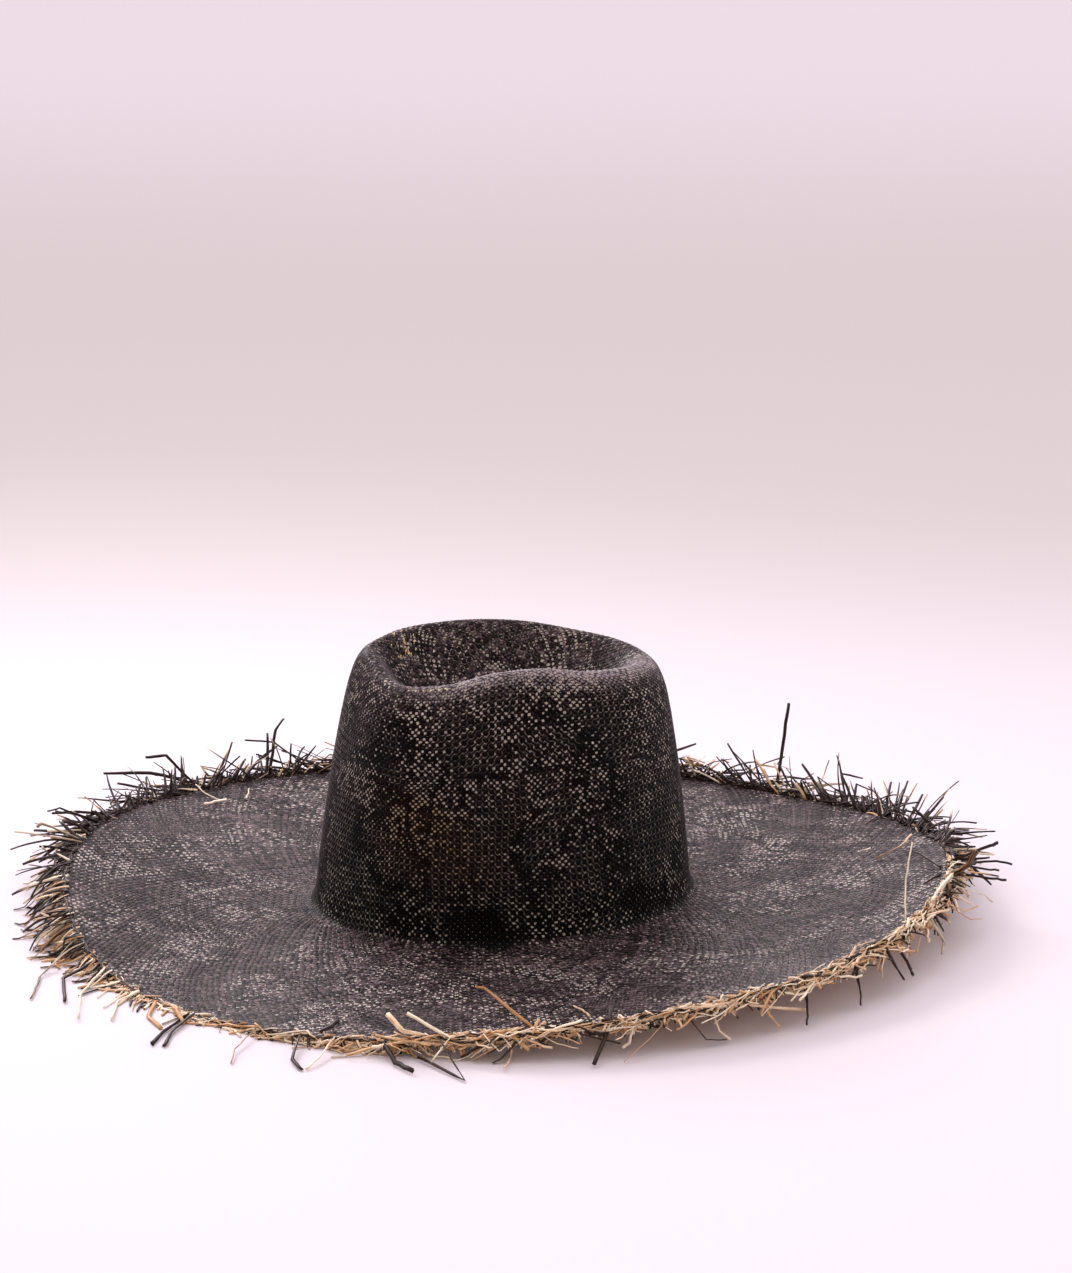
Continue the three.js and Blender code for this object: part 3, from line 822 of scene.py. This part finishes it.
# Front and right edge: the bare ends are bent round and lie along the edge as an irregular bundle. Each
# slants from the brim's top over the edge and down, one way or the other.
# azimuth, straws for each degree
BUNDLE = [
    (0, 3.0), (30, 2.8), (52, 3.8), (63, 3.4), (70, 0.3), (80, 0), (180, 0), (266, 0),
    (284, 0.5), (300, 1.2), (325, 2.4),
]
BRIM_RADIUS = 230
chance = np.random.default_rng(92)
per_degree = np.maximum(0, around(BUNDLE, 1, np.arange(360.0)))
starts = np.concatenate([degree + chance.random(n) for degree, n in enumerate(chance.poisson(per_degree))])
count, rows = len(starts), 10
length = np.clip(chance.lognormal(3.15, 0.42, count), 9, 62)
way_round = np.where(chance.random(count) < 0.5, -1, 1)[:, None]
share = np.linspace(0, 1, rows)[None, :]
azimuth = starts[:, None] + way_round * np.degrees(length[:, None] * share / BRIM_RADIUS)
slant = np.clip(share * chance.uniform(0.7, 1.6, (count, 1)), 0, 1)
top_inside, low_inside = chance.normal(1.6, 1.1, (count, 1)), chance.normal(-2.0, 1.3, (count, 1))
top_height, low_height = chance.normal(1.8, 0.8, (count, 1)), chance.normal(-2.2, 1.6, (count, 1))
flare = np.maximum(0, share - chance.uniform(0.45, 0.9, (count, 1))) * length[:, None]
inside = top_inside + (low_inside - top_inside) * slant - flare * np.abs(chance.normal(0, 0.3, (count, 1)))
height = top_height + (low_height - top_height) * slant + flare * chance.normal(-0.2, 0.25, (count, 1))
inside = inside + chance.normal(0, 0.35, (count, rows))
height = height + chance.normal(0, 0.3, (count, rows))
path = edge_point(azimuth, inside, height)
path[..., 2] = np.maximum(path[..., 2], FLOOR_CLEAR)
width = chance.uniform(0.7, 1.7, (count, 1)) * np.ones((1, rows))
corners = rods_along(path, width, width * 0.5, chance, 1.0)
bare = np.where(chance.random(count) < 0.84, 0.95, 0.1)[:, None, None]
blocks = [(corners, rod_numbers(chance, corners, length, bare))]
straw_piece("front_bundle", blocks, [ends_straw], 0, "frayed_edge")

# Stray straws: single long ends of palm straw that stick out of the fringe or lie on the brim's edge. Each
# hangs on to the weave at one end and is kinked once, and most of them are bare.
# start, kink and end in mm, width, share of bare straw
STRAYS = [
    ((191, -84, 27), (192, -80, 26), (215, -65, 13), 1.9, 0.95),
    ((190, -127, 19), (201, -123, 14), (198, -111, 9), 2.6, 1.00),
    ((195, -119, 20), (207, -102, 10), (214, -114, 2), 1.6, 0.80),
    ((205, -117, 2), (238, -106, 1), (204, -107, 10), 1.5, 0.35),
    ((190, -130, 7), (208, -129, 2), (221, -125, 2), 2.4, 0.05),
    ((216, -26, 19), (230, -34, 11), (242, -45, 2), 2.0, 0.00),
    ((213, -88, 12), (220, -83, 5), (218, -77, 9), 1.4, 0.95),
    ((213, -94, 3), (214, -89, 6), (215, -82, 12), 1.8, 0.95),
    ((217, -76, 13), (221, -73, 8), (224, -70, 6), 2.2, 0.95),
    ((217, -76, 13), (220, -77, 2), (232, -85, 2), 1.1, 0.85),
    ((234, -28, 5), (233, -24, 6), (229, -19, 17), 2.6, 1.00),
    ((194, -36, 12), (205, -36, 14), (212, -35, 13), 1.7, 0.95),
    ((221, -64, 19), (222, -66, 16), (221, -67, 12), 1.5, 0.90),
    ((167, -152, 5), (169, -148, 8), (153, -139, 4), 2.2, 0.10),
    ((145, -227, 1), (132, -218, 1), (112, -200, 1), 2.4, 0.05),
    ((148, -222, 1), (134, -215, 1), (114, -198, 2), 2.2, 0.05),
    ((199, -171, 1), (187, -172, 2), (164, -161, 4), 1.9, 0.25),
    ((199, -169, 1), (193, -162, 2), (176, -148, 5), 1.6, 0.85),
    ((180, -199, 1), (166, -193, 2), (146, -177, 3), 1.1, 0.50),
    ((66, -265, 1), (38, -254, 1), (6, -227, 8), 1.3, 0.45),
    ((76, -251, 1), (44, -244, 1), (36, -225, 5), 1.7, 0.10),
    ((102, -251, 2), (71, -242, 2), (44, -223, 4), 1.4, 0.60),
    ((107, -236, 1), (83, -227, 1), (77, -215, 2), 1.7, 0.85),
    ((102, -205, 1), (108, -205, 3), (124, -206, 1), 2.4, 0.85),
    ((90, -210, 1), (109, -219, 1), (126, -217, 1), 2.2, 0.90),
    ((-117, 212, 50), (-115, 208, 27), (-108, 201, 3), 1.9, 0.12),
    ((148, 160, 56), (155, 153, 40), (173, 145, 24), 1.5, 0.80),
    ((35, 215, 19), (54, 199, 20), (51, 187, 14), 1.3, 0.70),
    ((209, 97, 23), (193, 109, 23), (185, 123, 22), 1.2, 0.85),
    ((55, 205, 18), (83, 200, 23), (111, 195, 27), 1.3, 0.00),
    ((99, 190, 24), (107, 192, 25), (114, 193, 27), 1.3, 0.00),
    ((120, 181, 23), (117, 187, 24), (116, 192, 25), 1.3, 0.00),
    ((32, 186, 12), (34, 188, 13), (32, 193, 13), 1.1, 0.90),
    ((207, 101, 23), (211, 103, 9), (217, 101, 3), 1.7, 0.05),
    ((195, 122, 24), (204, 126, 13), (203, 130, 7), 2.0, 0.05),
    ((190, 130, 24), (196, 137, 9), (195, 139, 5), 1.5, 0.20),
    ((166, 160, 26), (181, 162, 15), (187, 158, 11), 1.6, 0.50),
    ((219, 70, 22), (224, 70, 7), (232, 66, 3), 2.0, 0.00),
    ((155, 170, 27), (157, 185, 20), (129, 207, 11), 1.0, 0.75),
    ((137, 185, 28), (148, 200, 24), (150, 204, 20), 1.0, 0.80),
    ((154, 171, 27), (154, 190, 14), (140, 204, 8), 0.9, 0.70),
    ((108, 203, 27), (119, 222, 30), (124, 228, 29), 2.2, 0.10),
    ((108, 203, 27), (117, 219, 25), (120, 223, 25), 2.0, 0.05),
    ((122, 195, 28), (132, 211, 26), (137, 218, 26), 2.4, 0.05),
    ((102, 206, 27), (110, 223, 35), (112, 226, 37), 1.8, 0.20),
    ((126, 193, 28), (131, 200, 34), (133, 203, 42), 3.0, 0.45),
    ((165, 162, 30), (151, 176, 33), (108, 206, 25), 3.0, 0.60),
    ((229, 18, 19), (233, 21, 6), (235, 26, 2), 1.2, 0.95),
    ((226, 45, 20), (229, 48, 9), (229, 54, 2), 1.8, 0.70),
    ((230, 3, 19), (236, 13, 4), (235, 24, 2), 1.1, 0.25),
    ((230, 13, 19), (229, 33, 16), (223, 54, 14), 2.2, 0.90),
    ((229, 19, 19), (229, 43, 14), (222, 70, 6), 2.0, 0.80),
    ((-236, -47, 35), (-232, -53, 30), (-222, -60, 7), 1.8, 0.10),
    ((-235, -70, 25), (-238, -52, 21), (-227, -34, 6), 2.0, 0.05),
    ((-204, -160, 24), (-206, -133, 21), (-204, -105, 11), 1.9, 0.05),
    ((-209, -135, 29), (-209, -123, 29), (-202, -108, 11), 1.7, 0.10),
    ((-135, -208, 28), (-133, -202, 30), (-139, -180, 18), 1.8, 0.10),
    ((-173, -112, 10), (-176, -105, 10), (-180, -97, 9), 1.6, 0.95),
    ((-201, -109, 13), (-188, -107, 11), (-178, -100, 9), 0.9, 0.80),
    ((-181, -86, 8), (-186, -83, 9), (-198, -79, 8), 1.4, 0.95),
    ((-96, -223, 33), (-95, -220, 35), (-113, -196, 18), 1.7, 0.50),
]
chance = np.random.default_rng(93)
knots = np.array([row[:3] for row in STRAYS], float)
rows = 9
share = np.linspace(0, 2, rows)[None, :, None]
start, kink, end = knots[:, None, 0], knots[:, None, 1], knots[:, None, 2]
path = np.where(share <= 1, start + (kink - start) * share, kink + (end - kink) * (share - 1))
path = path + chance.normal(0, 0.15, path.shape)
path[..., 2] = np.maximum(path[..., 2], FLOOR_CLEAR)
width = np.array([[row[3]] for row in STRAYS]) * np.ones((1, rows))
corners = rods_along(path, width, width * 0.55, chance)
bare = np.array([row[4] for row in STRAYS])[:, None, None]
length = np.linalg.norm(np.diff(path, axis=1), axis=-1).sum(axis=1)
blocks = [(corners, rod_numbers(chance, corners, length, bare))]
straw_piece("stray_straws", blocks, [ends_straw], 0, "frayed_edge")

# Floor: a wide sheet of pale paper, with painted shade in a band just behind the hat.
FLOOR_SIZE = 30  # from its middle to its sides, in metres
corners = [(-1, -1), (1, -1), (1, 1), (-1, 1)]
floor_mesh = bpy.data.meshes.new("floor")
floor_mesh.from_pydata([(FLOOR_SIZE * x, FLOOR_SIZE * y, 0) for x, y in corners], [], [(0, 1, 2, 3)])
floor = bpy.data.objects.new("floor", floor_mesh)
bpy.context.scene.collection.objects.link(floor)
paper = bpy.data.materials.new("pale_paper")
paper.use_nodes = True
tree = paper.node_tree
shader = tree.nodes["Principled BSDF"]
place = node(tree, "ShaderNodeTexCoord").outputs["Object"]
near_paper = blended(tree, noise(tree, place, 1.3, 2.0), (0.645, 0.585, 0.635, 1), (0.67, 0.61, 0.66, 1))
behind = vector_maths(tree, "DOT_PRODUCT", place, (-0.94, 0.34, 0.0))
# painted shade: the paper is darker in a band behind the hat, and lighter again far off
paper_with_shade_band = blended(tree, spread(tree, behind, 0.12, 0.9), near_paper, (0.55, 0.49, 0.495, 1))
shaded_paper = blended(tree, spread(tree, behind, 1.5, 3.6), paper_with_shade_band, (0.67, 0.60, 0.645, 1))
tree.links.new(shaded_paper, shader.inputs["Base Color"])
shader.inputs["Roughness"].default_value = 0.8
floor_mesh.materials.append(paper)

# Room and lamps: soft light all round, bright behind the hat, and dimmer and warmer on the camera's side.
scene = bpy.context.scene
scene.view_settings.view_transform = "Standard"
scene.view_settings.look = "None"
world = bpy.data.worlds.new("soft_room")
world.use_nodes = True
tree = world.node_tree
BRIGHT_SIDE = (-0.93, 0.34, 0.15)
direction = node(tree, "ShaderNodeTexCoord").outputs["Generated"]
facing = vector_maths(tree, "DOT_PRODUCT", direction, BRIGHT_SIDE)
wide_glow = spread(tree, facing, -0.7, 0.8, 0.48, 1.6)
near_glow = spread(tree, facing, 0.75, 1.0, 0.0, 1.2)
room_light = maths(tree, "ADD", wide_glow, near_glow)
room_colour = blended(tree, spread(tree, facing, -0.8, 0.3), (1.0, 0.82, 0.66, 1), (1.0, 0.94, 1.0, 1))
tree.links.new(room_light, tree.nodes["Background"].inputs["Strength"])
tree.links.new(room_colour, tree.nodes["Background"].inputs["Color"])
scene.world = world

# name, place, aimed at, size, beam in degrees, power, colour
LIGHTS = [
    ("overhead_softbox", (-0.2, 0.05, 1.7), (0, 0, 0), 1.6, 120, 2, (1.0, 0.97, 1.0)),
    ("back_softbox", (-1.5, -0.25, 1.05), (0.2, -0.02, 0), 0.7, 56, 2.3, (1.0, 0.94, 1.0)),
    ("left_softbox", (-0.9, -1.7, 1.0), (0, 0, 0.05), 1.0, 120, 3, (1.0, 0.97, 0.98)),
    ("right_softbox", (1.0, 1.5, 0.95), (0.1, 0.1, 0.0), 1.0, 120, 1.5, (1.0, 0.96, 0.99)),
    ("front_softbox", (1.8, -0.7, 0.9), (0.1, 0, 0.0), 0.9, 120, 1.6, (1.0, 0.92, 0.85)),
]
for name, place, aim, size, beam, power, colour in LIGHTS:
    lamp = bpy.data.lights.new(name, "AREA")
    lamp.shape = "DISK"
    lamp.size = size
    lamp.spread = math.radians(beam)
    lamp.energy = power
    lamp.color = colour
    light = bpy.data.objects.new(name, lamp)
    light.location = place
    light.rotation_euler = (Vector(aim) - Vector(place)).to_track_quat("-Z", "Y").to_euler()
    light.visible_camera = False
    scene.collection.objects.link(light)

# The camera stands 2 m off, 19 degrees above the floor and 70 degrees round from the hat's front.
CAMERA_DISTANCE = 2.0
CAMERA_AZIMUTH = 70
CAMERA_ELEVATION = 19
FRAME_HEIGHT = 1273
FRAME_WIDTH = 1072
FOCAL_PIXELS = 3860
HAT_PIXEL = (503, 895)  # where the middle of the hat's foot shows
azimuth, elevation = math.radians(CAMERA_AZIMUTH), math.radians(CAMERA_ELEVATION)
camera_data = bpy.data.cameras.new("camera")
camera_data.sensor_fit = "AUTO"
camera_data.sensor_width = 36
camera_data.lens = FOCAL_PIXELS / FRAME_HEIGHT * 36
camera_data.clip_start, camera_data.clip_end = 0.05, 100
camera = bpy.data.objects.new("camera", camera_data)
camera.location = (
    CAMERA_DISTANCE * math.cos(elevation) * math.sin(azimuth),
    -CAMERA_DISTANCE * math.cos(elevation) * math.cos(azimuth),
    CAMERA_DISTANCE * math.sin(elevation),
)
turn_left = math.atan((FRAME_WIDTH / 2 - HAT_PIXEL[0]) / FOCAL_PIXELS)
tilt_up = math.atan((HAT_PIXEL[1] - FRAME_HEIGHT / 2) / FOCAL_PIXELS)
camera.rotation_euler = (math.pi / 2 - elevation + tilt_up, 0, azimuth - turn_left)
scene.collection.objects.link(camera)
scene.camera = camera
